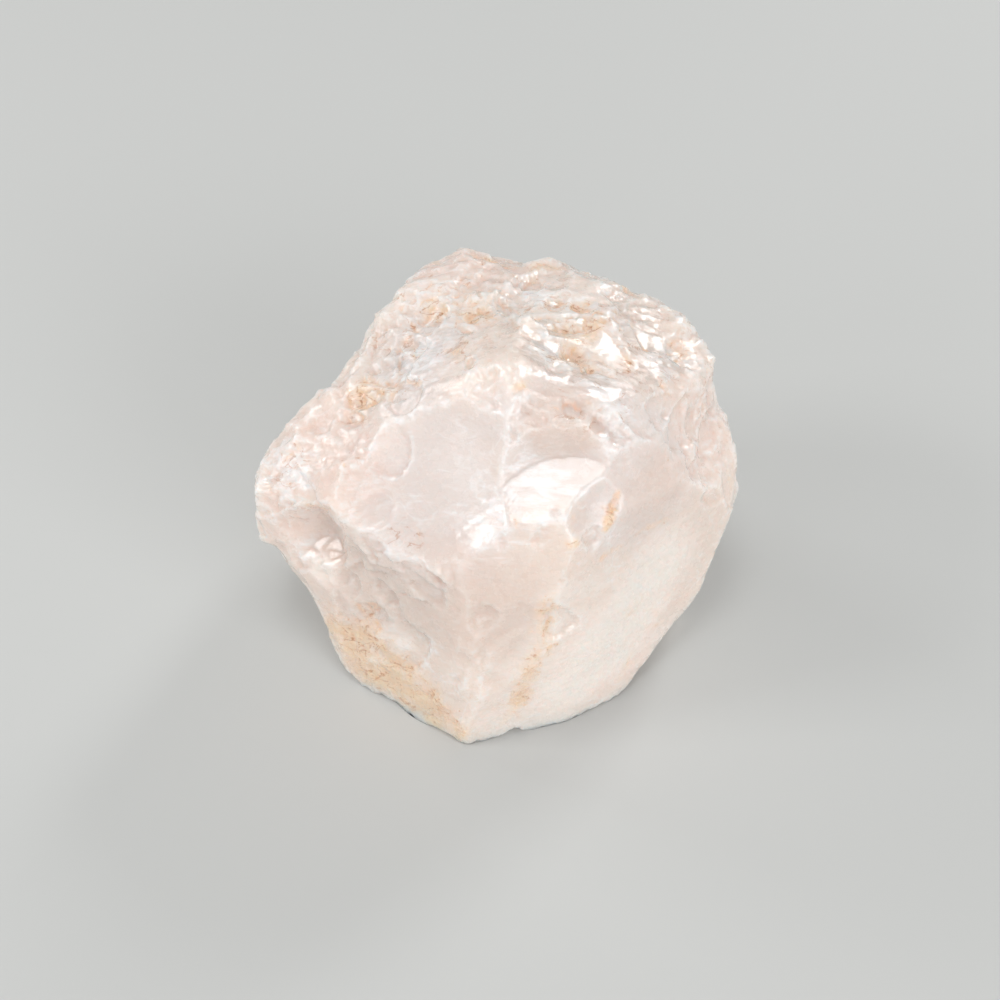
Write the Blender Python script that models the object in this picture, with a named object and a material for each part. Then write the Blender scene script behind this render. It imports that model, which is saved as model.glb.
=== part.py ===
"""A chunk of rose quartz: one piece of broken stone that stands on its flattest face.

The stone is roughed out as it formed. A block is split by flat breaks, shell-shaped
flakes are struck off it, and the fresh faces get the slight swell and the splintery
relief that quartz breaks with. Metres, +Z up. The origin is under the middle of the
stone, on its resting face.
"""

from math import cos, pi, radians, sin

import bmesh
import bpy
from mathutils import Vector, noise

MM = 0.001

NODE = "rose_quartz_chunk"
HEART = Vector((0, 0, 19)) * MM  # the point that the breaks are measured from
BLOCK = 80 * MM  # the side of the block before it is broken

# Each flat break: the bearing that it faces (0 is the front, 90 the right, 180 the back),
# its tilt above the horizon, both in degrees, and its distance from the heart in millimetres.
RESTING_BREAK = (0, -90, 19.0)
FRONT_BREAKS = {
    "brow": (0, 21, 13.9),
    "shin": (15, 4, 15.7),
    "right_shin": (27, 5, 15.5),
    "right_flank": (38, 9, 14.8),
    "right_shoulder": (40, 28, 16.0),
    "right_cheek": (67, 31, 19.2),
    "left_flank": (-32, 6, 15.7),
    "left_shoulder": (-64, 53, 17.4),
}
TOP_BREAKS = {
    "ledge": (10, 56, 17.2),
    "upper_left": (-97, 64, 18.4),
    "crown_left": (-143, 74, 19.6),
    "crown_back": (158, 73, 20.0),
    "crown_right": (100, 66, 19.8),
}
BACK_BREAKS = {
    "back": (172, 2, 24.5),
    "back_right": (128, -4, 25.0),
    "back_left_rim": (-161, 25, 28.0),
    "back_rim": (167, 25, 27.0),
    "back_right_rim": (150, 26, 27.1),
    "right_rim": (114, 17, 25.9),
    "right_side": (97, 8, 25.5),
    "left_point": (-97, 6, 25.4),
    "left_side": (-120, 20, 21.6),
    "left_back": (-131, 20, 23.4),
}
UNDER_BREAKS = {
    "under_right": (76, -13, 24.2),
    "under_front_right": (60, -24, 24.0),
    "under_front_left": (-50, -30, 26.4),
    "under_left": (-75, -24, 24.6),
    "under_left_side": (-100, -36, 22.6),
    "under_back_left": (-140, -35, 22.2),
    "under_back": (175, -35, 23.0),
    "under_back_right": (130, -34, 23.0),
}

# Each struck flake leaves a hollow that is part of a ball: its centre and radius in millimetres.
FLAKE_SCARS = {
    "great_scar": ((-10.5, -19.5, 45.0), 21.0),
    "step_scoop": ((4.8, -14.8, 41.0), 12.3),
    "ledge_hollow": ((6.3, -6.4, 43.2), 8.2),
    "left_flank_hollow": ((-26.0, -36.2, 18.0), 29.6),
    "left_waist": ((-33.4, -10.4, 4.9), 15.0),
    "crown_bowl": ((11.5, 7.0, 52.5), 17.5),
    "back_notch": ((2.0, 28.0, 38.0), 8.7),
    "left_notch": ((-18.8, 13.8, 36.2), 7.6),
    "left_chip": ((-21.4, -8.8, 20.2), 4.6),
    "back_hollow": ((-6.0, 46.0, 12.0), 24.0),
    "back_flake": ((25.0, 30.0, 18.0), 15.0),
}

BALL_SUBDIVISIONS = 4
FACET = 2.3 * MM  # the longest edge of a facet
WELD = 0.002 * MM  # points nearer than this are the same point
SLIVER = 0.4 * MM  # an edge shorter than this is closed up
EVENING_ROUNDS = 7
FLAT_ANGLE = radians(12)  # faces that meet flatter than this count as one break

SWELL = 0.28 * MM  # the slow swell over every broken face
SWELL_SIZE = 9 * MM
SPLINTER = 0.55 * MM  # the steps and splinters on the crown
SPLINTER_SIZE = (4 * MM, 4 * MM, 1.6 * MM)
CROWN_START = 29 * MM
CROWN_FULL = 34 * MM
RESTING_LIMIT = 0.05 * MM  # points lower than this are on the resting face

ROSE = (0.80, 0.64, 0.60, 1)
ROUGHNESS = 0.38


def clear_scene():
    for obj in list(bpy.data.objects):
        bpy.data.objects.remove(obj, do_unlink=True)


def facing(bearing, tilt):
    """The unit vector that points along a bearing, raised by a tilt."""
    level = cos(radians(tilt))
    return Vector((sin(radians(bearing)) * level, -cos(radians(bearing)) * level, sin(radians(tilt))))


def split(bm, bearing, tilt, distance):
    """Splits the block along a flat break and closes it with the fresh face."""
    normal = facing(bearing, tilt)
    cut = bmesh.ops.bisect_plane(
        bm,
        geom=bm.verts[:] + bm.edges[:] + bm.faces[:],
        plane_co=HEART + normal * distance * MM,
        plane_no=normal,
        clear_outer=True,
    )
    rim = [item for item in cut["geom_cut"] if isinstance(item, bmesh.types.BMEdge)]
    if rim:
        bmesh.ops.edgeloop_fill(bm, edges=rim)


def broken_block():
    bm = bmesh.new()
    bmesh.ops.create_cube(bm, size=BLOCK)
    bmesh.ops.translate(bm, verts=bm.verts[:], vec=HEART)
    split(bm, *RESTING_BREAK)
    for group in (FRONT_BREAKS, TOP_BREAKS, BACK_BREAKS, UNDER_BREAKS):
        for way in group.values():
            split(bm, *way)
    bmesh.ops.recalc_face_normals(bm, faces=bm.faces[:])
    return bm


def object_from(bm, name):
    mesh = bpy.data.meshes.new(name)
    bm.to_mesh(mesh)
    bm.free()
    obj = bpy.data.objects.new(name, mesh)
    bpy.context.scene.collection.objects.link(obj)
    return obj


def ball(name, centre, radius):
    """The ball whose surface a struck flake follows."""
    bm = bmesh.new()
    bmesh.ops.create_icosphere(bm, subdivisions=BALL_SUBDIVISIONS, radius=radius * MM)
    bmesh.ops.translate(bm, verts=bm.verts[:], vec=Vector(centre) * MM)
    obj = object_from(bm, name)
    obj.hide_render = True
    obj.display_type = "WIRE"
    return obj


def strike_flakes(stone):
    """Takes every flake off the stone and returns the bmesh of what is left."""
    for name, (centre, radius) in FLAKE_SCARS.items():
        flake = stone.modifiers.new(name, "BOOLEAN")
        flake.operation = "DIFFERENCE"
        flake.solver = "EXACT"
        flake.object = ball(name + "_ball", centre, radius)
    bpy.context.view_layer.update()
    struck = stone.evaluated_get(bpy.context.evaluated_depsgraph_get())
    bm = bmesh.new()
    bm.from_mesh(struck.to_mesh())
    struck.to_mesh_clear()
    for name in FLAKE_SCARS:
        bpy.data.objects.remove(bpy.data.objects[name + "_ball"], do_unlink=True)
    bpy.data.objects.remove(stone, do_unlink=True)
    return bm


def even_facets(bm):
    """Divides long edges, closes up slivers and evens out what lies between the arrises."""
    bmesh.ops.remove_doubles(bm, verts=bm.verts[:], dist=WELD)
    for _ in range(EVENING_ROUNDS):
        bmesh.ops.triangulate(bm, faces=bm.faces[:])
        long = [edge for edge in bm.edges if edge.calc_length() > FACET]
        bmesh.ops.subdivide_edges(bm, edges=long, cuts=1)
        bmesh.ops.triangulate(bm, faces=bm.faces[:])
        flat = [edge for edge in bm.edges if edge.calc_face_angle(0) < FLAT_ANGLE]
        bmesh.ops.beautify_fill(bm, faces=bm.faces[:], edges=flat, method="ANGLE")
        bmesh.ops.dissolve_degenerate(bm, dist=SLIVER, edges=bm.edges[:])
        inner = [v for v in bm.verts if all(e.calc_face_angle(pi) < FLAT_ANGLE for e in v.link_edges)]
        bmesh.ops.smooth_vert(
            bm, verts=inner, factor=0.5, use_axis_x=True, use_axis_y=True, use_axis_z=True
        )
    bmesh.ops.triangulate(bm, faces=bm.faces[:])


def crown_share(height):
    """0 on the flanks, 1 on the crown, and a slope between them."""
    return min(1, max(0, (height - CROWN_START) / (CROWN_FULL - CROWN_START)))


def roughen(bm):
    """Gives the broken faces their swell, and the crown its splinters. The resting face stays flat."""
    bm.normal_update()
    moves = []
    for vert in bm.verts:
        if vert.co.z < RESTING_LIMIT:
            continue
        swell = SWELL * noise.noise(vert.co / SWELL_SIZE)
        stretched = Vector([along / size for along, size in zip(vert.co, SPLINTER_SIZE)])
        splinter = SPLINTER * crown_share(vert.co.z) * noise.noise(stretched)
        moves.append((vert, vert.normal * (swell + splinter)))
    for vert, move in moves:
        vert.co += move
        vert.co.z = max(vert.co.z, RESTING_LIMIT)


def centre_on_base(bm):
    """Puts the origin under the middle of the stone's box, on the resting face."""
    across = [[vert.co[axis] for vert in bm.verts] for axis in range(3)]
    low = Vector([min(values) for values in across])
    high = Vector([max(values) for values in across])
    middle = (low + high) / 2
    bmesh.ops.translate(bm, verts=bm.verts[:], vec=(-middle.x, -middle.y, -low.z))


def rose_quartz():
    material = bpy.data.materials.new("rose_quartz")
    material.use_nodes = True
    surface = material.node_tree.nodes["Principled BSDF"]
    surface.inputs["Base Color"].default_value = ROSE
    surface.inputs["Roughness"].default_value = ROUGHNESS
    surface.inputs["Metallic"].default_value = 0
    return material


clear_scene()
stone_mesh = strike_flakes(object_from(broken_block(), "block"))
even_facets(stone_mesh)
roughen(stone_mesh)
centre_on_base(stone_mesh)
stone = object_from(stone_mesh, NODE)
stone.data.materials.append(rose_quartz())
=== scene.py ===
# %% [markdown]
# # A chunk of rose quartz
#
# Rose quartz is milky quartz with a breath of pink. It has no cleavage, so a blow does not split it along
# flat planes: it breaks like thick glass, in shell-shaped flakes with fine ripples, and where many small
# flakes come off side by side the face is splintery. The CAD part already holds the block, its flat breaks
# and its largest flake scars. Here the same stone gets what those leave out: dulled and chipped arrises, a
# splintered crown, the scars that are its landmarks, ripples, rust in the pits, and the milky depth of the
# mineral.

# %% The frame
import bmesh
import bpy
import numpy as np
from math import cos, pi, radians, sin
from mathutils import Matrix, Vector, noise


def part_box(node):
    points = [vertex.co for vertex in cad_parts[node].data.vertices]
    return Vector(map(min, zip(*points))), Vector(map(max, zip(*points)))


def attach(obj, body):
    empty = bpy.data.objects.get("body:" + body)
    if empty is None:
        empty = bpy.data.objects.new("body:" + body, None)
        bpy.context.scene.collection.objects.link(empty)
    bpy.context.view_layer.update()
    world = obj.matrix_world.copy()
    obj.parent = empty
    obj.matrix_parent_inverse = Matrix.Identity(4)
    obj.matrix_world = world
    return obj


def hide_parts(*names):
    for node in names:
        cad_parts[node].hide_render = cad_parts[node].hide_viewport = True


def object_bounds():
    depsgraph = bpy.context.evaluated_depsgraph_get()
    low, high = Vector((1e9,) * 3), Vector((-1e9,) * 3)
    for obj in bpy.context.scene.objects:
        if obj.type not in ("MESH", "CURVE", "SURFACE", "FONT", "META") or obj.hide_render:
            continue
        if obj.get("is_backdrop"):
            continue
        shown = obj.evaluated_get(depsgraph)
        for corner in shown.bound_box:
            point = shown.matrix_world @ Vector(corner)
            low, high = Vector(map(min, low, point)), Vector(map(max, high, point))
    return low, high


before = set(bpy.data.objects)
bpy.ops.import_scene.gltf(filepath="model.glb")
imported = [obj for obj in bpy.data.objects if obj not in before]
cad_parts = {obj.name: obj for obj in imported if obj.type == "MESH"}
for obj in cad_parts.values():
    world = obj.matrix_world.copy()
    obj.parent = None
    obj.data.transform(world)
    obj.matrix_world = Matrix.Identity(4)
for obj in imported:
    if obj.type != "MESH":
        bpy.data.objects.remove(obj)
MM = 0.001
NODE = "rose_quartz_chunk"
cad_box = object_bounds()
LOW, HIGH = (np.array(corner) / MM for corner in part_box(NODE))
SPAN = HIGH - LOW
print("the stone is", SPAN.round(1), "mm")

# %% [markdown]
# ## The block to work on
#
# The CAD mesh is left alone. A copy of it is merged, so that its loose triangles become one closed skin. Its
# sharp arrises get a full crease, and two rounds of Subdivision Surface then make everything between them
# smooth and fine, while the arrises stay where the CAD has them. A voxel remesh would be simpler, but it
# would round every arris by a voxel.

# %% The block to work on
MERGE = 0.001 * MM
SHARP = radians(24)
ROUNDS = 2


def merged_copy(node):
    bm = bmesh.new()
    bm.from_mesh(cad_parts[node].data)
    bmesh.ops.remove_doubles(bm, verts=bm.verts[:], dist=MERGE)
    bmesh.ops.recalc_face_normals(bm, faces=bm.faces[:])
    return bm


def crease_arrises(bm):
    crease = bm.edges.layers.float.new("crease_edge")
    for edge in bm.edges:
        edge[crease] = float(edge.calc_face_angle(0) > SHARP)


def fine_copy(bm, name):
    """The mesh after the rounds of subdivision, as an object of its own."""
    rough = bpy.data.meshes.new(name)
    bm.to_mesh(rough)
    bm.free()
    piece = bpy.data.objects.new(name, rough)
    bpy.context.scene.collection.objects.link(piece)
    finer = piece.modifiers.new("finer", "SUBSURF")
    finer.levels = finer.render_levels = ROUNDS
    bpy.context.view_layer.update()
    fine = bpy.data.meshes.new_from_object(piece.evaluated_get(bpy.context.evaluated_depsgraph_get()))
    piece.modifiers.clear()
    piece.data = fine
    return piece


block = merged_copy(NODE)
crease_arrises(block)
stone = fine_copy(block, "quartz_stone")
stone.data.shade_smooth()
print("the working skin has", len(stone.data.vertices), "points")

# %% [markdown]
# ## Reading and moving the skin
#
# From here the skin is shaped the way a sculptor would do it, by pressing points. Each round of work reads
# all the points into one array in millimetres, which is fast even for a hundred thousand of them. The edges
# say which points are neighbours, and that is enough to average over the skin.

# %% Reading and moving the skin
ends = np.empty(len(stone.data.edges) * 2, int)
stone.data.edges.foreach_get("vertices", ends)
ends = ends.reshape(-1, 2)
POINT = np.concatenate((ends[:, 0], ends[:, 1]))
NEIGHBOUR = np.concatenate((ends[:, 1], ends[:, 0]))
NEIGHBOURS = np.bincount(POINT)[:, None]


def read_points():
    flat = np.empty(len(stone.data.vertices) * 3)
    stone.data.vertices.foreach_get("co", flat)
    return flat.reshape(-1, 3) / MM


def read_normals():
    flat = np.empty(len(stone.data.vertices) * 3)
    stone.data.vertex_normals.foreach_get("vector", flat)
    return flat.reshape(-1, 3)


def write_points(points):
    stone.data.vertices.foreach_set("co", (points * MM).ravel())
    stone.data.update()


def around(columns):
    """The mean of each point's neighbours, column by column."""
    sums = [np.bincount(POINT, column[NEIGHBOUR]) for column in columns.T]
    return np.array(sums).T / NEIGHBOURS


def spread(column, rounds):
    """A column of values softened over the skin."""
    for _ in range(rounds):
        column = (column + around(column)) / 2
    return column


skin = read_points()
RESTING = skin[:, 2] < 0.06
print("the skin reads", skin.min(0).round(1), "to", skin.max(0).round(1), "mm")

# %% [markdown]
# ## Places on the skin
#
# Places are given as shares of the stone's box, to the right, to the back and up, so they follow the CAD. A
# ramp, a lump of smooth noise and a soft patch round a place are all that the masks below are made of.

# %% Places on the skin
def unit(vector):
    vector = np.array(vector, float)
    return vector / np.linalg.norm(vector)


def at(right, back, up):
    """A place in millimetres from its shares of the stone's box."""
    return LOW + SPAN * (right, back, up)


def ramp(values, start, end):
    """0 below start and 1 above end, with a soft turn at both."""
    share = np.clip((values - start) / (end - start), 0, 1)
    return share * share * (3 - 2 * share)


def grain(points, size, seed, stretch=(1, 1, 1)):
    """Smooth noise, about -0.7 to 0.7, with lumps of a size in millimetres, stretched along the axes."""
    shift = Vector((17.3, 5.1, -9.7)) * seed
    return np.array([noise.noise(Vector(point) + shift) for point in points / (size * np.array(stretch))])


def patch(right, back, up, radius, soft=0.5):
    """1 near a place and 0 away from it."""
    away = np.linalg.norm(skin - at(right, back, up), axis=1) / radius
    return np.clip((1 - away) / soft, 0, 1)


print("the middle of the box is at", at(0.5, 0.5, 0.5).round(1), "mm")

# %% [markdown]
# ## Dulled arrises and uneven breaks
#
# A stone that has lain about loses the edge of its arrises, more here and less there, and no break is truly
# flat. Repeated averaging with the neighbours dulls an arris without touching the faces beside it, so it is
# done by a mask that varies over the stone and is strong low down. It leaves the arrises of the front scars
# crisp, because those breaks are young. Three sizes of smooth noise then push the skin in and out by a
# fraction of a millimetre, and a few low bosses fill out the rim where the flat breaks of the CAD cut across
# it. The underside is left flat, because the stone rests on it.

# %% Dulled arrises and uneven breaks
DULLING_ROUNDS = 30
DULLING_GRAIN = 8
SWELLS = ((9.0, 0.22), (3.6, 0.10), (1.5, 0.035))
RIM_BOSSES = {
    (0.67, 0.93, 0.84): 1.5, (0.47, 0.92, 0.85): 0.8, (0.35, 0.90, 0.84): 0.5,
    (0.27, 0.79, 0.83): 1.1, (0.21, 0.68, 0.77): 0.5, (0.15, 0.55, 0.75): 0.4, (0.07, 0.47, 0.66): 1.6,
    (0.91, 0.65, 0.75): 0.6, (0.88, 0.73, 0.79): 0.9,
}
BOSS_RADIUS = 6.5
CRISP_PLACES = (
    ((0.40, 0.24, 0.74), 10), ((0.44, 0.14, 0.67), 7), ((0.33, 0.15, 0.66), 4), ((0.60, 0.24, 0.80), 7),
    ((0.78, 0.30, 0.70), 9), ((0.50, 0.40, 0.96), 2.5), ((0.50, 0.12, 0.60), 6), ((0.44, 0.31, 0.82), 6),
)
calm = np.clip(sum(patch(*place, radius, 0.35) for place, radius in CRISP_PLACES), 0, 1)
dullness = ramp(0.6 * grain(skin, DULLING_GRAIN, 3) + 0.75 - 1.5 * skin[:, 2] / HIGH[2], 0, 0.6)
dullness *= (1 - calm) * (0.2 + 0.8 * ramp(skin[:, 2], 0.5, 5))
for _ in range(DULLING_ROUNDS):
    skin += dullness[:, None] * (around(skin) - skin) / 2
    skin[RESTING, 2] = 0
write_points(skin)
lift = sum(depth * grain(skin, size, 10 + order) for order, (size, depth) in enumerate(SWELLS))
for place, height in RIM_BOSSES.items():
    lift += height * patch(*place, BOSS_RADIUS, 1)
lift *= ramp(skin[:, 2], 0.1, 1.6) * ~RESTING
skin += read_normals() * lift[:, None]
skin[:, 2] = np.maximum(skin[:, 2], 0)
write_points(skin)
first = skin.copy()
print("the breaks swell by up to", np.abs(lift).max().round(2), "mm")

# %% [markdown]
# ## Striking flakes
#
# A flake scar is the inside of a shallow ball. Cutting a thousand of them with Booleans would take hours, so
# each point of the skin is put on a ray from the heart of the stone, and a strike shortens every ray that
# meets the ball to where it enters it. On a body whose whole skin can be seen from one inner point this is
# the same cut, and the skin can't fold over. A long flake is a ball stretched along one axis.

# %% Striking flakes
HEART = np.array((0.1, -3.5, 19.0))
ways = skin - HEART
reach = np.linalg.norm(ways, axis=1)
ways /= reach[:, None]
chance = np.random.default_rng(12)
UPRIGHT = np.eye(3)
ROUND = (1, 1, 1)


def entry_of(centre, radius, near, axes, stretch):
    """How far out each of the near rays enters a ball, or infinity where it misses it."""
    inside = (HEART - centre) @ axes.T / stretch
    along = ways[near] @ axes.T / stretch
    square = (along**2).sum(1)
    half = along @ inside
    room = half**2 - square * (inside @ inside - radius**2)
    entry = (-half - np.sqrt(np.maximum(room, 0))) / square
    return np.where((room > 0) & (entry > 0), entry, np.inf)


def strike(centre, radius, most, near=slice(None), axes=UPRIGHT, stretch=ROUND):
    """Shortens the near rays to where they enter a ball, by no more than most millimetres."""
    reach[near] -= np.clip(reach[near] - entry_of(centre, radius, near, axes, stretch), 0, most)


def shape():
    """Writes the skin as the rays now have it, and reads its points and normals."""
    points = HEART + ways * reach[:, None]
    points[:, 2] = np.maximum(points[:, 2], 0)
    points[RESTING, 2] = 0
    write_points(points)
    return points, read_normals()


print("the rays reach", reach.min().round(1), "to", reach.max().round(1), "mm from the heart")

# %% [markdown]
# ## Flakes and steps
#
# A flake is easiest to give by its width and depth and the way that it faces, and the ball follows from
# those. A ball alone leaves a smooth bowl. Where a blow stopped short it left a step, a flat tread with a
# steep wall behind it: a step takes off only what lies both over the tread and inside the ball, so the two
# meet in a crease.

# %% Flakes and steps
LEAST_SLOPE = 0.05


def step(tread, facing, centre, radius, most, axes=UPRIGHT, stretch=ROUND):
    """Takes off what lies both over a flat tread and inside a ball, which leaves a crease between the two."""
    facing = unit(facing)
    slope = ways @ facing
    level = (tread - HEART) @ facing / np.maximum(slope, LEAST_SLOPE)
    level = np.where(slope > LEAST_SLOPE, level, np.inf)
    entry = np.maximum(level, entry_of(centre, radius, slice(None), axes, stretch))
    reach[:] -= np.clip(reach - entry, 0, most)


def ball_radius(width, depth):
    """The radius of the ball that leaves a scar of a width and a depth."""
    return (width * width / 4 + depth * depth) / (2 * depth)


def flake(place, facing, width, depth, along=(1, 0.2, 0.1), length=1.0, most=0.8):
    """A shell-shaped flake of a width and a depth, struck off at a place that faces a way."""
    facing = unit(facing)
    radius = ball_radius(width, depth)
    along = unit(along - facing * (facing @ along))
    axes = np.array((along, np.cross(facing, along), facing))
    near = np.flatnonzero(((first - place) ** 2).sum(1) < (1.3 * width * length + 1) ** 2)
    strike(place + facing * (radius - depth), radius, most, near, axes, (length, 1, 1))


print("a flake 4 mm wide and 0.5 mm deep takes a ball of", ball_radius(4, 0.5), "mm radius")

# %% [markdown]
# ## Splintered zones
#
# On the crown the stone broke in many small pieces. Each zone gets a run of flat flakes, wide ones first and
# narrow ones last, so that the small ones cut the large. Every flake is tilted off the face that it is on,
# and more so the smaller it is, which gives it a steep side and a thin side, as a real splinter has. In some
# patches the splinters lie nearly parallel and flash together when the light is right, so those runs are
# turned towards a gleam, a direction halfway between a lamp and the eye.

# %% Splintered zones
RISE = 0.6
TURN_SPREAD = 0.22
GLEAM_SHARE = 0.75
MOST_PLAIN, MOST_GLEAMING = 0.5, 0.75
TO_LEFT = unit((-0.48, -0.15, 0.86))
TO_TOP = unit((-0.07, -0.37, 0.93))
TO_BACK = unit((0.34, -0.03, 0.94))


def splinter(right, back, up, radius, count, widths, along, length, flatness=0.035, steep=0.5, gleam=None):
    """Strikes a run of flakes over a zone, tilted at random or towards a gleam, and returns the zone."""
    points, normals = shape()
    zone = patch(right, back, up, radius)
    facing = unit((normals * zone[:, None]).sum(0))
    zone *= ramp(normals @ facing, 0.35, 0.7) * ramp(points[:, 2], 5, 8)
    seeds = chance.choice(len(points), count, p=zone / zone.sum())
    widest, narrowest = widths
    most = MOST_PLAIN if gleam is None else MOST_GLEAMING
    for seed, width in zip(seeds, widest * (narrowest / widest) ** np.linspace(0, 1, count)):
        turn = unit(np.array(along) + chance.normal(0, TURN_SPREAD, 3))
        across = np.cross(normals[seed], turn)
        tilt = min(RISE / width, steep)
        base = normals[seed]
        if gleam is not None:
            base = (1 - GLEAM_SHARE) * base + GLEAM_SHARE * gleam
        facing = base + across * chance.normal(0, tilt) + turn * chance.normal(0, tilt / 3)
        depth = width * flatness * chance.uniform(0.6, 1.6)
        flake(points[seed], facing, width, depth, turn, chance.uniform(1.2, length), most=most)
    return zone


print("the gleams face", TO_LEFT.round(2), TO_TOP.round(2), "and", TO_BACK.round(2))

# %% [markdown]
# ## The runs of splinters
#
# The crown is splintered from the left shoulder to the right rim, each part along its own grain. Then come
# the gleaming patches, the crushed spot under the great scar, the stained face low on the left and the back.
# All this flaking lowers a zone as a whole. The broad part of the loss is found by softening it over the
# skin, and most of it is given back, so that only the relief of the splinters stays.

# %% The runs of splinters
BULK_ROUNDS = 120
BULK_GIVEN_BACK = 0.75
start = reach.copy()
hackle = splinter(0.38, 0.74, 0.90, 13, 90, (7.5, 1.8), (0.75, 0.55, 0.1), 4.0, flatness=0.028, steep=0.3)
hackle += splinter(0.69, 0.60, 0.90, 13, 260, (6.0, 0.9), (0.9, -0.25, 0), 2.6, steep=0.6)
hackle += splinter(0.64, 0.38, 0.94, 6, 70, (4.0, 0.8), (1, -0.25, -0.1), 2.6, steep=0.6)
hackle += splinter(0.36, 0.50, 0.89, 6, 40, (4.5, 1.1), (0.3, -1, 0), 3.0, flatness=0.028)
hackle += splinter(0.23, 0.50, 0.81, 4.2, 60, (2.4, 0.6), (1, 0.2, 0), 1.6, flatness=0.06, steep=0.7)
hackle += 0.3 * splinter(0.18, 0.38, 0.72, 7, 16, (7.0, 3.0), (1, -0.1, 0.1), 2.6, steep=0.15)
hackle += splinter(0.86, 0.66, 0.78, 4.0, 30, (2.4, 0.6), (1, 1, 0), 1.4, flatness=0.06, steep=0.7)
hackle += splinter(0.93, 0.62, 0.70, 5, 30, (3.6, 1.0), (0.4, 1, 0.3), 2.0)
hackle += splinter(0.60, 0.51, 0.94, 3.6, 34, (3.0, 1.0), (0.9, -0.25, 0), 2.6, 0.02, 0.1, TO_BACK)
hackle += splinter(0.71, 0.40, 0.92, 4.0, 44, (2.8, 0.9), (0.9, -0.35, 0), 2.8, 0.02, 0.1, TO_BACK)
hackle += splinter(0.58, 0.75, 0.87, 2.4, 12, (2.4, 1.0), (0.9, -0.2, 0), 2.2, 0.02, 0.1, TO_TOP)
hackle += splinter(0.34, 0.55, 0.89, 5.0, 34, (3.4, 1.2), (0.5, 0.8, 0.2), 2.4, 0.02, 0.12, TO_LEFT)
hackle += splinter(0.09, 0.39, 0.65, 4.2, 20, (3.2, 1.1), (1, -0.1, 0.1), 2.4, 0.02, 0.1, TO_LEFT)
hackle += splinter(0.83, 0.57, 0.83, 3.4, 20, (2.6, 0.9), (0.1, 1, 0), 3.0, 0.02, 0.1, TO_BACK)
hackle += splinter(0.29, 0.16, 0.65, 3.0, 50, (1.4, 0.5), (1, -0.4, 0), 1.5, flatness=0.08)
hackle += 0.5 * splinter(0.27, 0.17, 0.18, 9, 40, (6.0, 1.5), (0.3, 0, 1), 2.8, flatness=0.02, steep=0.25)
hackle += 0.5 * splinter(0.50, 0.97, 0.40, 13, 110, (6.0, 1.2), (0.2, 0, 1), 2.4, steep=0.3)
lost = spread((start - reach)[:, None], BULK_ROUNDS)[:, 0]
reach += BULK_GIVEN_BACK * lost
hackle = np.clip(hackle, 0, 1)
print("the zones had lost up to", lost.max().round(1), "mm before the bulk went back")
print("splinters cover", (100 * (hackle > 0.3).mean()).round(), "% of the points")

# %% [markdown]
# ## The named scars
#
# A few scars are the stone's landmarks, and they are younger than the splinters, because they cut through
# them. Each is struck on its own, in the order of the lines below: the great scar at the front, the scoop
# beside it with its flat tread and steep riser, the chip in the left flank with its flat floor, the hollow
# under the great scar's lower edge, the smooth channel above, a chip on the right-hand arris, the small round
# crater on the rim, the smooth slope on the left of the crown, and the long face low in front.

# %% The named scars
GREAT_SCAR = np.array((-10.8, -21.6, 41.9)), 19.1
TREAD, TREAD_FACING = np.array((5.0, -11.0, 30.3)), (-0.075, -0.367, 0.927)
RISER = np.array((6.0, -19.0, 36.0)), 11.6
CHIP_FLOOR, CHIP_FACING = np.array((-19.3, -10.1, 16.2)), (-0.41, -0.39, 0.825)
CHIP_WALL = np.array((-20.6, -12.7, 20.0)), 1
UNDER_EDGE, UNDER_EDGE_FACING = np.array((-9.6, -15.2, 24.8)), (-0.25, -0.72, 0.65)
CHIP_AXES = np.array(((0.84, -0.54, 0), (-0.54, -0.84, 0), (0, 0, 1)))
CHIP_HALF_SIZES = np.array((3.5, 6.0, 6.5))
CRATER_MOST = 1.2
strike(*GREAT_SCAR, most=3)
step(TREAD, TREAD_FACING, *RISER, most=5)
step(CHIP_FLOOR, CHIP_FACING, *CHIP_WALL, most=4, axes=CHIP_AXES, stretch=CHIP_HALF_SIZES)
flake(UNDER_EDGE, UNDER_EDGE_FACING, 8, 0.8)
flake(at(0.50, 0.42, 0.96), (-0.36, -0.5, 0.8), 4.5, 0.35, along=(0.3, 1, 0), length=1.7)
flake(at(0.66, 0.20, 0.72), (0.59, -0.63, 0.51), 5.2, 0.55, along=(0.7, 0.7, 0), length=1.2)
flake(at(0.86, 0.64, 0.80), (0.41, 0.02, 0.91), 3.6, 0.8, most=CRATER_MOST)
flake(at(0.32, 0.61, 0.87), (-0.5, 0.0, 0.86), 6.5, 0.4, along=(0.3, 1, 0), length=1.5)
flake(at(0.555, 0.06, 0.34), (0.08, -0.96, 0.24), 11, 0.6, along=(0.25, 0, 1), length=1.2)
skin, normals = shape()
print("the named scars take up to", np.linalg.norm(first - skin, axis=1).max().round(1), "mm")

# %% [markdown]
# ## Chipped arrises
#
# Wherever two faces meet, the arris has lost small chips. The bend of the skin says where the arrises are:
# a point that stands proud of the mean of its neighbours is on one.

# %% Chipped arrises
CHIPS = 750
SMALLEST, LARGEST = 0.4, 2.6
FEWER_LARGE = 1.9
PROUD_FROM, PROUD_SPAN = 0.012, 0.03


def bend_of(points, normals):
    """How far each point lies below the mean of its neighbours: less than 0 on an arris."""
    return ((around(points) - points) * normals).sum(1)


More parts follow.
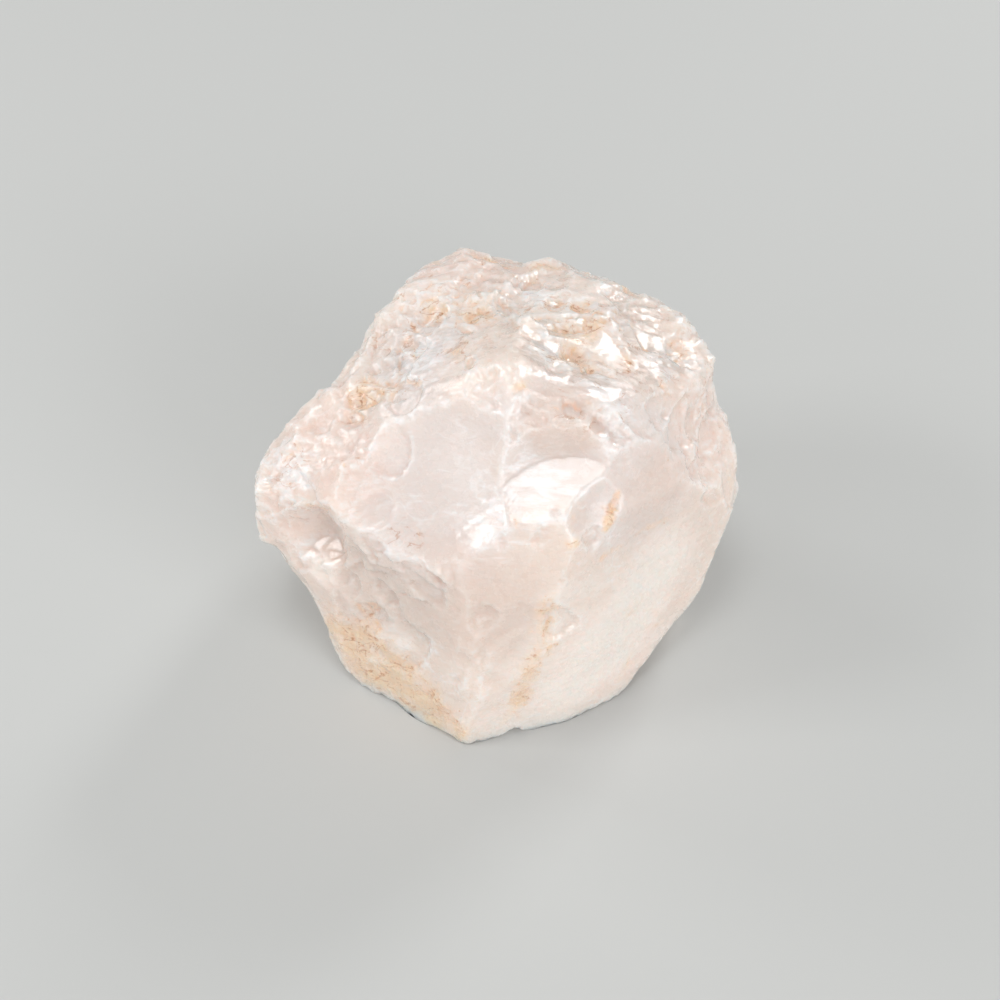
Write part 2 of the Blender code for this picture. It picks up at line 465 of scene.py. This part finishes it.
points, normals = shape()
proud = (-bend_of(points, normals) - PROUD_FROM) / PROUD_SPAN
proud = np.clip(proud, 0, 1) * ramp(points[:, 2], 0.6, 1.8)
for seed in chance.choice(len(points), CHIPS, p=proud / proud.sum()):
    size_share = chance.random() ** FEWER_LARGE * (1 - 0.75 * calm[seed])
    width = SMALLEST * (LARGEST / SMALLEST) ** size_share
    facing = normals[seed] + chance.normal(0, 0.35, 3)
    depth = width * chance.uniform(0.04, 0.10)
    flake(points[seed], facing, width, depth, chance.normal(0, 1, 3), chance.uniform(1.2, 2.6), most=0.4)
skin, normals = shape()
print(CHIPS, "chips along the arrises")

# %% [markdown]
# ## Ripples
#
# A crack runs through quartz in jerks and leaves faint ripples round the point of the blow, and fine ridges
# that fan out from it. On the great scar they show towards its right-hand edge, and on the flat tread they
# are the same ripples, a little longer. On the left shoulder they are long and nearly straight, like the
# grain of silk, and the splinters of the crown are scratched lengthwise. All are sines and noise that press
# the skin in. At the end, a point that stands up past its neighbours like a thorn is trimmed.

# %% Ripples
BLOW = at(0.30, 0.36, 0.86)
RING_WAVE, TREAD_WAVE, SILK_WAVE = 0.95, 1.3, 1.7
FANS = 70
RING_DEPTH, FAN_DEPTH, TREAD_DEPTH, SILK_DEPTH, SCRATCH_DEPTH = 0.014, 0.02, 0.02, 0.05, 0.05
SILK_WAY = unit((-0.12, 0.55, 0.8))
SCRATCH_SIZE, SCRATCH_STRETCH = 0.8, (4, 1, 1)
SCRATCH_TURN = np.array(((0.8, 0.6, 0), (-0.6, 0.8, 0), (0, 0, 1)))
TALLEST_THORN = 0.05


def ripples(distance, wave):
    """0 in a trough and 2 on a crest."""
    return 1 + np.sin(2 * pi * distance / wave)


away = np.linalg.norm(skin - BLOW, axis=1)
turn = np.arctan2(skin[:, 1] - BLOW[1], skin[:, 0] - BLOW[0])
wobble = grain(skin, 3.5, 40)
rings = ripples(away + 0.8 * wobble, RING_WAVE)
fans = 1 + np.sin(FANS * turn + 6 * wobble) * ramp(grain(skin, 2.0, 41), 0, 0.3)
scar_ripples = np.clip(patch(0.46, 0.18, 0.71, 6.0) + 0.25 * patch(0.40, 0.24, 0.74, 9), 0, 1)
pressed = scar_ripples * (RING_DEPTH * rings + FAN_DEPTH * fans)
flow = ripples((skin - LOW) @ SILK_WAY + 1.3 * grain(skin, 6, 42), SILK_WAVE)
silk = patch(0.17, 0.36, 0.70, 9) * ramp(normals[:, 2], 0.45, 0.7)
pressed += silk * SILK_DEPTH * flow
scratches = 1 - np.abs(grain(skin @ SCRATCH_TURN.T, SCRATCH_SIZE, 43, SCRATCH_STRETCH))
pressed += hackle * SCRATCH_DEPTH * np.clip(scratches, 0, 1)
on_tread = patch(0.58, 0.23, 0.78, 6, 0.4) * ramp(normals @ unit(TREAD_FACING), 0.97, 0.995)
pressed += on_tread * TREAD_DEPTH * ripples(away + 1.5 * wobble, TREAD_WAVE)
reach -= pressed
reach -= np.maximum(reach - around(reach[:, None])[:, 0] - TALLEST_THORN, 0)
skin, normals = shape()
print("ripples press in by up to", pressed.max().round(2), "mm")

# %% [markdown]
# ## Where the finishes go
#
# The finish needs to know which parts of the skin are rusty, white with inner cracks or with painted
# highlights, lilac, rosy, milky or darkened with painted shade. Each of these is stored as a number on every
# point, an attribute that the material reads. The places are the real stone's own: a spot is a place and a
# radius, and a seam is a soft line through a few places.
# Painting by hand would do it too, but numbers are easier to change. The bend of the skin gives two masks
# for nothing: the arrises, which are frosted, and the pits, where rust collects.

# %% Spots and seams
def keep(name, values):
    """Stores a mask on the skin under a name that the finish reads."""
    layer = stone.data.attributes.new(name, "FLOAT", "POINT")
    layer.data.foreach_set("value", np.clip(values, 0, 1).astype(np.float32).ravel())


def spots(*rows):
    """Soft spots, each a strength, a place in shares of the box and a radius in millimetres."""
    return sum(strength * patch(*place, radius, 0.8) for strength, place, radius in rows)


def seam(strength, width, *places):
    """A soft line of a width through places."""
    points = [at(*place) for place in places]
    nearest = np.full(len(skin), np.inf)
    for start, end in zip(points, points[1:]):
        run = end - start
        share = np.clip((skin - start) @ run / (run @ run), 0, 1)
        nearest = np.minimum(nearest, np.linalg.norm(skin - start - share[:, None] * run, axis=1))
    return strength * np.clip(1 - nearest / width, 0, 1)


SHARP_BEND, PIT_BEND = 0.06, 0.03
bend = bend_of(skin, normals)[:, None]
arris = spread(np.clip(-bend / SHARP_BEND, 0, 1), 1)[:, 0]
pit = spread(np.clip(bend / PIT_BEND, 0, 1), 3)[:, 0]
print("frost on", (100 * (arris > 0.3).mean()).round(), "% of the points")

# %% [markdown]
# ## Rust
#
# Water left iron in the stone's cracks. It is thickest low on the left, where a whole face is orange, and it
# follows old cracks elsewhere: down the front, along the crown, on the edge between the great scar and the
# tread, and round the chip on the right-hand arris. A trace lies in every pit between the splinters.

# %% Rust
rust = spots(
    (1.0, (0.19, 0.20, 0.16), 7), (1.0, (0.28, 0.13, 0.14), 7), (0.9, (0.36, 0.06, 0.08), 6),
    (0.9, (0.40, 0.02, 0.03), 4), (0.7, (0.24, 0.50, 0.82), 5), (0.35, (0.44, 0.71, 0.90), 7),
    (0.45, (0.42, 0.53, 0.93), 4), (1.0, (0.14, 0.28, 0.60), 3.0), (0.6, (0.23, 0.21, 0.35), 2.5),
    (0.4, (0.83, 0.24, 0.21), 5), (0.45, (0.78, 0.23, 0.33), 4), (0.45, (0.75, 0.15, 0.06), 5),
    (0.5, (0.98, 0.47, 0.50), 2.5), (0.45, (0.66, 0.60, 0.90), 8), (0.4, (0.60, 0.90, 0.84), 7),
    (0.5, (0.66, 0.20, 0.72), 3.0), (0.4, (0.86, 0.66, 0.80), 3), (0.5, (0.5, 0.97, 0.3), 10),
    (0.4, (0.9, 0.8, 0.3), 8), (0.5, (0.05, 0.6, 0.35), 8),
)
RUST_SEAMS = (
    (0.85, 2.6, ((0.59, 0.09, 0.51), (0.58, 0.07, 0.38), (0.55, 0.06, 0.22), (0.52, 0.04, 0.08))),
    (0.9, 1.2, ((0.49, 0.36, 0.95), (0.58, 0.41, 0.96), (0.69, 0.35, 0.92), (0.77, 0.38, 0.87))),
    (1.0, 1.1, ((0.47, 0.31, 0.84), (0.49, 0.26, 0.79), (0.52, 0.18, 0.75), (0.54, 0.15, 0.72))),
    (1.2, 0.4, ((0.62, 0.31, 0.81), (0.60, 0.26, 0.79), (0.58, 0.21, 0.76))),
    (1.1, 1.0, ((0.61, 0.17, 0.68), (0.66, 0.14, 0.66), (0.70, 0.20, 0.66), (0.72, 0.26, 0.72))),
    (0.6, 1.2, ((0.69, 0.18, 0.57), (0.78, 0.27, 0.57), (0.82, 0.30, 0.56))),
    (0.6, 1.4, ((0.36, 0.93, 0.82), (0.50, 0.90, 0.85), (0.67, 0.92, 0.83), (0.81, 0.80, 0.80))),
)
for strength, width, places in RUST_SEAMS:
    rust += seam(strength, width, *places)
rust += 0.9 * pit * hackle
print("rust on", (100 * (rust > 0.4).mean()).round(), "% of the points")

# %% [markdown]
# ## Veils, painted highlights, painted shade and colours
#
# Veils are nets of fine inner cracks, and they show white. They lie under the glinting splinters, behind the
# bright end of the great scar and in the chip, and most of their white is a painted highlight where glints
# show, on the tread and the left shoulder too. The clear scars look lilac, the shoulder and the rim rosy, and
# the thick right-hand face milky. The faces that turn away from the light get painted shade, and so do the
# riser behind the tread and the edge between the great scar and the tread.

# %% Veils, painted highlights, painted shade and colours
# Painted highlights in large part: most of these white spots and the seam below sit where glints show, on the
# tread, the bright end of the great scar, the chip floor, the left shoulder, the crown and the crater rim;
# the rest are inner veils.
veil_and_glint_paint = spots(
    (1.0, (0.57, 0.23, 0.78), 6), (1.0, (0.47, 0.18, 0.71), 4.5), (1.6, (0.12, 0.27, 0.44), 3.2),
    (1.5, (0.09, 0.39, 0.65), 5), (1.4, (0.34, 0.55, 0.89), 5), (1.6, (0.39, 0.39, 0.90), 1.3),
    (1.4, (0.60, 0.51, 0.93), 4), (1.5, (0.71, 0.39, 0.92), 5), (1.3, (0.83, 0.58, 0.83), 4),
    (1.5, (0.86, 0.64, 0.80), 2.6), (-1.6, (0.86, 0.64, 0.80), 1.4), (1.2, (0.58, 0.75, 0.87), 3),
    (0.6, (0.36, 0.10, 0.32), 2.5), (0.5, (0.38, 0.80, 0.88), 7), (0.5, (0.72, 0.85, 0.85), 5),
    (0.5, (0.80, 0.27, 0.56), 3), (0.4, (0.5, 0.97, 0.6), 9), (0.5, (0.97, 0.6, 0.4), 7),
)
veil_and_glint_paint += seam(0.9, 1.6, (0.26, 0.21, 0.68), (0.32, 0.15, 0.64), (0.37, 0.13, 0.50), (0.46, 0.13, 0.67))
lilac = spots(
    (1.0, (0.38, 0.24, 0.74), 13), (0.9, (0.76, 0.30, 0.74), 12), (0.8, (0.60, 0.33, 0.88), 8),
    (0.7, (0.33, 0.58, 0.88), 9), (0.4, (0.72, 0.66, 0.88), 6), (0.5, (0.9, 0.8, 0.5), 16),
)
# Painted shade: these spots and the seam darken faces turned away from the lamps, the riser behind the tread
# and the edge between the great scar and the tread.
painted_shade = spots(
    (1.0, (0.45, 0.10, 0.50), 10), (0.9, (0.22, 0.20, 0.42), 10), (0.7, (0.80, 0.30, 0.66), 8),
    (1.5, (0.62, 0.34, 0.88), 5), (0.5, (0.85, 0.55, 0.9), 8),
)
painted_shade += seam(0.9, 1.5, (0.47, 0.31, 0.84), (0.49, 0.26, 0.79), (0.52, 0.18, 0.75), (0.54, 0.15, 0.72))
# The last milk spot is a painted highlight on the chip floor; the others are the milky tone of the thick
# right-hand face.
milk_and_chip_glint = spots(
    (1.0, (0.72, 0.16, 0.24), 9), (0.8, (0.82, 0.28, 0.40), 8), (0.5, (0.60, 0.08, 0.12), 6),
    (1.2, (0.14, 0.25, 0.40), 2.8),
)
rosy = spots(
    (0.9, (0.16, 0.38, 0.72), 11), (0.9, (0.45, 0.92, 0.84), 12), (0.8, (0.90, 0.50, 0.66), 9),
    (0.6, (0.75, 0.15, 0.10), 9), (0.7, (0.1, 0.3, 0.5), 8), (0.5, (0.2, 0.9, 0.4), 16),
)
# Of these masks, veil and milk carry painted highlights in part, and dusk is painted shade.
MASKS = {
    "rust": rust, "veil_and_glint_paint": veil_and_glint_paint, "lilac": lilac, "rosy": rosy, "milk_and_chip_glint": milk_and_chip_glint, "painted_shade": painted_shade, "frost": arris,
    "hackle": hackle,
}
for name, values in MASKS.items():
    keep(name, values)
    print(name, "on", (100 * (values > 0.4).mean()).round(), "% of the points")

# %% [markdown]
# ## Tools for the finish
#
# The finish is built from nodes. These short helpers each add a node or two and hand back an output, so that
# the finish itself reads like a recipe. The first ones do sums.

# %% Tools for the finish
material = bpy.data.materials.new("rose_quartz")
material.use_nodes = True
tree = material.node_tree
surface = tree.nodes["Principled BSDF"]


def feed(socket, value):
    """Links an output to a socket, or sets the socket to a number or a colour."""
    if isinstance(value, bpy.types.NodeSocket):
        tree.links.new(value, socket)
    else:
        socket.default_value = value


def sums(operation, *values):
    made = tree.nodes.new("ShaderNodeMath")
    made.operation = operation
    for socket, value in zip(made.inputs, values):
        feed(socket, value)
    return made.outputs[0]


def total(*values):
    result = values[0]
    for value in values[1:]:
        result = sums("ADD", result, value)
    return result


def times(*values):
    result = values[0]
    for value in values[1:]:
        result = sums("MULTIPLY", result, value)
    return result


print("the material", material.name, "starts with", len(tree.nodes), "nodes")

# %% [markdown]
# ## Vectors, ranges and colours
#
# The same kind of helper for vectors, for a soft step between two values, and for laying one colour over
# another by a share.

# %% Vectors, ranges and colours
def vectors(operation, *values):
    made = tree.nodes.new("ShaderNodeVectorMath")
    made.operation = operation
    for socket, value in zip(made.inputs, values):
        feed(socket, value)
    return made.outputs["Value" if operation == "DOT_PRODUCT" else "Vector"]


def between(value, start, end):
    """0 below start and 1 above end, with a soft turn at both."""
    made = tree.nodes.new("ShaderNodeMapRange")
    made.interpolation_type = "SMOOTHSTEP"
    feed(made.inputs["Value"], value)
    feed(made.inputs["From Min"], start)
    feed(made.inputs["From Max"], end)
    return made.outputs[0]


def blend(under, over, share):
    made = tree.nodes.new("ShaderNodeMix")
    made.data_type = "RGBA"
    feed(made.inputs[6], under)
    feed(made.inputs[7], over)
    feed(made.inputs[0], share)
    return made.outputs[2]


# %% [markdown]
# ## Patterns for the finish
#
# These helpers read a mask or make a pattern. Patterns live in Object coordinates, scaled so that one unit is
# a millimetre, and they may be turned and stretched to run with the grain of the splinters.

# %% Patterns for the finish
MIDDLE = (0.5, 0.5, 0.5)


def mask(name):
    made = tree.nodes.new("ShaderNodeAttribute")
    made.attribute_name = name
    return made.outputs["Fac"]


def placed(turned=(0, 0, 0), stretched=(1, 1, 1)):
    """Object coordinates in millimetres, turned and then stretched."""
    source = tree.nodes.new("ShaderNodeTexCoord").outputs["Object"]
    made = tree.nodes.new("ShaderNodeMapping")
    feed(made.inputs["Vector"], source)
    made.inputs["Rotation"].default_value = turned
    made.inputs["Scale"].default_value = [1 / (MM * share) for share in stretched]
    return made.outputs[0]


def clouds(size, detail=3.0, roughness=0.5, warp=0.0, where=None):
    """Noise, about 0.3 to 0.7, with lumps of a size in millimetres."""
    made = tree.nodes.new("ShaderNodeTexNoise")
    feed(made.inputs["Vector"], where or placed())
    made.inputs["Scale"].default_value = 1 / size
    made.inputs["Detail"].default_value = detail
    made.inputs["Roughness"].default_value = roughness
    made.inputs["Distortion"].default_value = warp
    return made.outputs[0]


def facets(size, where):
    """The height in millimetres of small flat facets, each tilted its own way."""
    made = tree.nodes.new("ShaderNodeTexVoronoi")
    feed(made.inputs["Vector"], where)
    made.inputs["Scale"].default_value = 1 / size
    offset = vectors("SUBTRACT", where, made.outputs["Position"])
    tilt = vectors("SUBTRACT", made.outputs["Color"], MIDDLE)
    return vectors("DOT_PRODUCT", offset, tilt)


def cracks(size, where):
    """0 on the borders of a net of cells and more inside them."""
    made = tree.nodes.new("ShaderNodeTexVoronoi")
    made.feature = "DISTANCE_TO_EDGE"
    feed(made.inputs["Vector"], where)
    made.inputs["Scale"].default_value = 1 / size
    return made.outputs["Distance"]


# %% [markdown]
# ## The body of the quartz
#
# Light goes into the stone, scatters on milky veils and comes out rosy, which is what Subsurface is for. The
# colour is mixed in layers, from the inside out. First come milk and beige clouds, and over them the lilac
# of the clear scars and the rosy shoulder and rim, each with a ragged border.

# %% The body of the quartz
BEIGE = (0.84, 0.725, 0.65, 1)
MILK = (0.88, 0.79, 0.73, 1)
LILAC = (0.80, 0.725, 0.695, 1)
ROSE = (0.86, 0.70, 0.63, 1)
CLOUD_SIZE, RAGGED_SIZE = 8, 3.5

milky = between(clouds(CLOUD_SIZE, 4, 0.55, 0.6), 0.42, 0.62)
colour = blend(BEIGE, MILK, times(milky, 0.8))
ragged = clouds(RAGGED_SIZE, 4, 0.6, 0.8)
lilac_share = between(total(mask("lilac"), times(ragged, 0.5)), 0.35, 0.85)
colour = blend(colour, LILAC, times(lilac_share, 0.8))
rosy_share = between(total(mask("rosy"), times(ragged, 0.6)), 0.4, 1.0)
colour = blend(colour, ROSE, times(rosy_share, 0.6))
print("clouds and tints bring it to", len(tree.nodes), "nodes")

# %% [markdown]
# ## Veils, painted highlights, hairlines and frost
#
# White comes in three kinds: threads that thicken to a sheen where the veils are, which there is partly a
# painted highlight, hairline cracks along the borders of a net of cells, pulled out of shape by a noise so
# that no cell looks drawn, and crushed frost on the arrises. The painted shade and the milky faces are tinted
# last, and the milk tint also paints a highlight on the chip floor.

# %% Veils, painted highlights, hairlines and frost
PALE = (0.975, 0.85, 0.79, 1)
# The next colour is the tint of the painted shade.
PAINTED_SHADE_TONE = (0.76, 0.63, 0.56, 1)
WHITE = (0.93, 0.905, 0.90, 1)
DIAGONAL = (0.3, 0.2, 0.7)
THREAD_SIZE, FROST_SIZE = 1.1, 0.9
NET_SIZE, NET_STRETCH = 6.0, (1.6, 1, 0.8)
DRIFT_SIZE, DRIFT = 3, (5, 5, 5)

threads = clouds(THREAD_SIZE, 5, 0.6, 0.5, placed(DIAGONAL, (3.2, 1, 1)))
# Painted highlight in part: this white sheen is strongest where the veil mask lays its painted glints.
veil_and_glint_white = between(total(threads, times(mask("veil_and_glint_paint"), 0.22)), 0.55, 0.80)
colour = blend(colour, WHITE, times(veil_and_glint_white, 0.75))
drift = tree.nodes.new("ShaderNodeTexNoise")
feed(drift.inputs["Vector"], placed())
drift.inputs["Scale"].default_value = 1 / DRIFT_SIZE
drifted = vectors("MULTIPLY_ADD", drift.outputs["Color"], DRIFT, placed(stretched=NET_STRETCH))
net = cracks(NET_SIZE, drifted)
hairline = times(between(net, 0.035, 0.0), between(clouds(5, 2), 0.5, 0.6), 0.35)
colour = blend(colour, WHITE, hairline)
frost_share = times(mask("frost"), between(clouds(FROST_SIZE, 4, 0.6), 0.42, 0.6), 0.75)
colour = blend(colour, WHITE, frost_share)
# Painted shade: the dark tint goes on the faces turned away from the lamps.
painted_shade_share = between(total(mask("painted_shade"), times(ragged, 0.6)), 0.4, 1.0)
colour = blend(colour, PAINTED_SHADE_TONE, times(painted_shade_share, 0.7))
# The milk tint also paints the highlight on the chip floor.
milk_and_chip_glint_share = between(total(mask("milk_and_chip_glint"), times(ragged, 0.6)), 0.4, 1.0)
colour = blend(colour, PALE, times(milk_and_chip_glint_share, 0.8))
print("white and shade bring it to", len(tree.nodes), "nodes")

# %% [markdown]
# ## Stains
#
# Rust is a thin tan haze with thicker tan patches in it, broken up by two sizes of noise. The middle value
# of another noise runs through space as thin sheets, and where a sheet meets the skin it draws a fine
# wandering line, which is how iron follows a crack. The darkest stain adds specks, and the splintered crown
# gets a few old brown cracks of its own.

# %% Stains
TAN = (0.97, 0.70, 0.50, 1)
BROWN = (0.50, 0.22, 0.09, 1)
FINE_SIZE, BROAD_SIZE, LINE_SIZE = 0.5, 2.8, 2.4
LINE_WIDTH = 0.022

fine = clouds(FINE_SIZE, 6, 0.62, 0.3)
broad = clouds(BROAD_SIZE, 5, 0.62, 0.6)
haze = times(between(total(mask("rust"), times(total(broad, -0.5), 2.0)), 0.25, 1.15), 0.75)
colour = blend(colour, TAN, haze)
staining = total(times(mask("rust"), 0.8), times(total(fine, -0.5), 2.2), times(total(broad, -0.5), 2.2))
rust_share = between(staining, 0.62, 1.05)
colour = blend(colour, TAN, times(rust_share, 0.7))
drawn = clouds(LINE_SIZE, 5, 0.55, 1.0, placed(DIAGONAL, (1.8, 1, 1)))
lines = between(sums("ABSOLUTE", total(drawn, -0.5)), LINE_WIDTH, 0.0)
specks = between(staining, 1.1, 1.5)
colour = blend(colour, BROWN, times(total(times(lines, between(staining, 0.45, 0.9)), specks), 0.6))
old_cracks = times(lines, mask("hackle"), between(broad, 0.48, 0.58), 0.5)
colour = blend(colour, BROWN, old_cracks)
feed(surface.inputs["Base Color"], colour)
print("stains bring it to", len(tree.nodes), "nodes")

# %% [markdown]
# ## Gloss and the finest relief
#
# A fresh break shines like glass. Rust and frost are duller, and the veils, which are clean inner faces in
# part and painted highlights in part, are glossier. The flakes are in the mesh already, so the bump only adds
# what is finer than the mesh: facets of a millimetre or less on the splinters, and a grain. It is a sum of
# heights in millimetres.

# %% Gloss and the finest relief
LARGE_FACETS, SMALL_FACETS = 1.3, 0.5
GRAIN_SIZES = 0.9, 0.2
PINK_SCATTER = (1.0, 0.82, 0.76)
SCATTER_DEPTH = 3 * MM

roughness = total(0.17, times(clouds(1.6, 4, 0.6), 0.20), times(rust_share, 0.30), times(frost_share, 0.15))
roughness = total(roughness, times(mask("veil_and_glint_paint"), -0.08))
feed(surface.inputs["Roughness"], roughness)

splinters = placed(DIAGONAL, (2.2, 1, 1))
height = times(facets(LARGE_FACETS, splinters), mask("hackle"), 0.5)
height = total(height, times(facets(SMALL_FACETS, splinters), total(mask("hackle"), mask("veil_and_glint_paint")), 0.3))
coarse_grain = times(clouds(GRAIN_SIZES[0], 5, 0.6), 0.10)
fine_grain = times(clouds(GRAIN_SIZES[1], 3, 0.6), 0.018)
height = total(height, coarse_grain, fine_grain)
height = total(height, times(threads, 0.10), times(rust_share, fine, 0.12))
bump = tree.nodes.new("ShaderNodeBump")
bump.inputs["Strength"].default_value = 1.0
bump.inputs["Distance"].default_value = MM
feed(bump.inputs["Height"], height)
feed(surface.inputs["Normal"], bump.outputs[0])

surface.inputs["IOR"].default_value = 1.54
surface.inputs["Coat Weight"].default_value = 0.5
surface.inputs["Coat Roughness"].default_value = 0.12
surface.inputs["Subsurface Weight"].default_value = 1
surface.inputs["Subsurface Radius"].default_value = PINK_SCATTER
surface.inputs["Subsurface Scale"].default_value = SCATTER_DEPTH
stone.data.materials.clear()
stone.data.materials.append(material)
print("the finish has", len(tree.nodes), "nodes")

# %% [markdown]
# ## The stone takes the place of its CAD solid
#
# The new skin rides on the part's only body and hides the CAD solid that it was made from. Its finish goes
# into a slot, so that another stone finish can be put in its place later.

# %% The stone takes the place of its CAD solid
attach(stone, "root")
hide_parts(NODE)
print(stone.name, "has", len(stone.data.polygons), "faces")

# %% [markdown]
# ## Floor
#
# The floor is pale and plain. It lies a hair under the stone, because two faces in exactly the same place
# would fight in the render.

# %% Floor
FLOOR_GAP = 0.05 * MM
FLOOR_HALF = 1.5
FLOOR_GREY = (0.57, 0.58, 0.57, 1)

bm = bmesh.new()
bmesh.ops.create_grid(bm, x_segments=1, y_segments=1, size=FLOOR_HALF)
bmesh.ops.translate(bm, verts=bm.verts[:], vec=(0, 0, -FLOOR_GAP))
floor_mesh = bpy.data.meshes.new("floor")
bm.to_mesh(floor_mesh)
bm.free()
floor = bpy.data.objects.new("floor", floor_mesh)
bpy.context.scene.collection.objects.link(floor)
paint = bpy.data.materials.new("pale_floor")
paint.use_nodes = True
painted = paint.node_tree.nodes["Principled BSDF"]
painted.inputs["Base Color"].default_value = FLOOR_GREY
painted.inputs["Roughness"].default_value = 0.8
floor.data.materials.append(paint)
floor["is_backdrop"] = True
print("the floor is", 2 * FLOOR_HALF, "m wide")

# %% [markdown]
# ## Light
#
# The room is a pale, even world. Quartz shows its breaks by the glints on them, and a glint needs a small
# lamp in the mirror direction of the break: one hangs overhead for the flat tread, one stands on the left,
# and two stand behind for the crown. Three large weak lamps fill the shadows in front. None of them shows
# itself to the camera.

# %% Light
WORLD_LIGHT = 0.34
LAMPS = {
    "overhead": ((-0.04, -0.03, 0.46), 0.13, 0.36),
    "left": ((-0.37, -0.03, 0.27), 0.12, 0.44),
    "back": ((0.22, 0.28, 0.26), 0.10, 0.48),
    "back_left": ((-0.31, 0.22, 0.23), 0.12, 0.26),
    "front_fill": ((0.05, -0.55, 0.25), 0.42, 0.62),
    "right_fill": ((0.38, -0.40, 0.22), 0.36, 1.4),
    "left_fill": ((-0.45, -0.35, 0.20), 0.32, 0.45),
}
AIM = Vector((0, 0, 0.02))

world = bpy.data.worlds.new("studio")
bpy.context.scene.world = world
world.use_nodes = True
background = world.node_tree.nodes["Background"]
background.inputs["Color"].default_value = (1, 0.99, 0.98, 1)
background.inputs["Strength"].default_value = WORLD_LIGHT


def soft_light(name, place, size, power):
    """A square lamp of a size in metres and a power in watts, aimed at the stone."""
    data = bpy.data.lights.new(name, "AREA")
    data.shape = "SQUARE"
    data.size = size
    data.energy = power
    lamp = bpy.data.objects.new(name, data)
    lamp.location = place
    lamp.visible_camera = False
    lamp.rotation_euler = (AIM - Vector(place)).to_track_quat("-Z", "Y").to_euler()
    bpy.context.scene.collection.objects.link(lamp)


for name, settings in LAMPS.items():
    soft_light(name, *settings)
print(len(LAMPS), "lamps")

# %% [markdown]
# ## Camera
#
# The camera looks down on the stone from the front, at fifty degrees, from a hand's length away.

# %% Camera
TARGET = Vector((0.0001, -0.0035, 0.019))
ELEVATION = radians(50)
DISTANCE = 0.147
camera_data = bpy.data.cameras.new("camera")
camera_data.lens = 50
camera_data.clip_start = 0.005
camera = bpy.data.objects.new("camera", camera_data)
camera.location = TARGET + Vector((0, -cos(ELEVATION), sin(ELEVATION))) * DISTANCE
camera.rotation_euler = (pi / 2 - ELEVATION, 0, 0)
bpy.context.scene.collection.objects.link(camera)
bpy.context.scene.camera = camera
bpy.context.scene.view_settings.view_transform = "Standard"
print("the camera is", DISTANCE, "m from its target")

# %% [markdown]
# ## Size and finish
#
# The size is measured again, now on the finished stone, and written out beside the size of the CAD part.

# %% Size and finish
boxes = {"cad": cad_box, "visual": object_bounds()}
for name, box in boxes.items():
    print(name, "is", ((np.array(box[1]) - box[0]) / MM).round(1), "mm")
